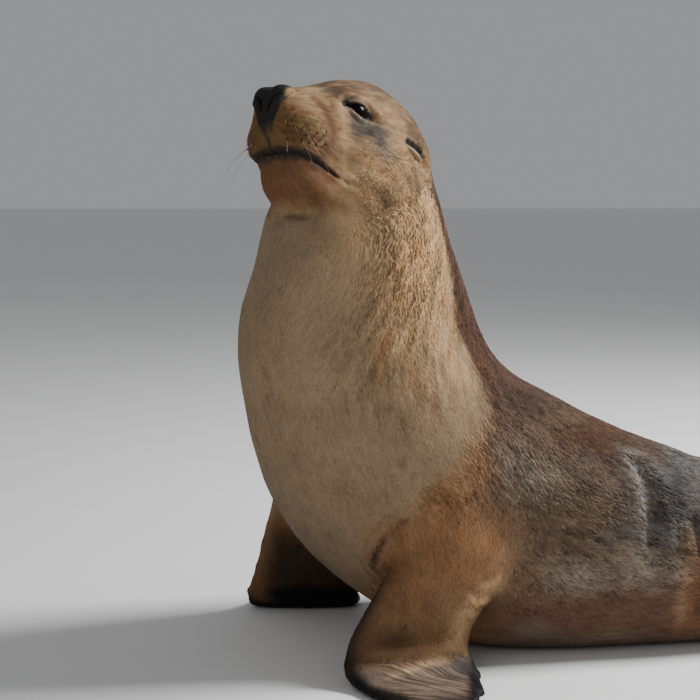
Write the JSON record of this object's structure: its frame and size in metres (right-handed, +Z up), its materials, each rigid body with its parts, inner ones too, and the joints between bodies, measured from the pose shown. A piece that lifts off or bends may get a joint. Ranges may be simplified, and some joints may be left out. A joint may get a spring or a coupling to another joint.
{
  "type": "sea lion, sitting up",
  "caption": "Life-size still model of a sea lion propped up on its fore flippers, chest high, chin raised and turned aside, hind flippers folded forward under the rump.",
  "frame": {"origin": "on the floor, under the middle of the animal's bounding box", "axes": "-X the way the body faces, from the tail to the chest; -Y its left side; +Z up from the floor it rests on"},
  "size_m": [1.3922, 0.8364, 0.9061],
  "materials": {
    "fawn_coat": "short flat fur, dry",
    "brown_coat": "short flat fur, damp, in small clumps",
    "cream_coat": "short flat fur, dry",
    "bare_skin": "wrinkled bare skin, satin",
    "eye": "wet gloss",
    "claw": "horn, satin"
  },
  "bodies": {
    "root": {"head": "fawn_coat", "lower_jaw": "fawn_coat", "nose_pad": "bare_skin", "eye_left": "eye", "eye_right": "eye", "ear_left": "fawn_coat", "ear_right": "fawn_coat", "neck": "cream_coat", "chest": "cream_coat", "loin": "brown_coat", "pelvis": "brown_coat", "tail": "brown_coat", "arm_left": "brown_coat", "arm_right": "brown_coat", "fore_flipper_left": "bare_skin", "fore_flipper_right": "bare_skin", "hind_flipper_left": "bare_skin", "hind_flipper_right": "bare_skin", "hind_claw_left_1": "claw", "hind_claw_left_2": "claw", "hind_claw_left_3": "claw", "hind_claw_right_1": "claw", "hind_claw_right_2": "claw", "hind_claw_right_3": "claw"}
  },
  "joints": []
}
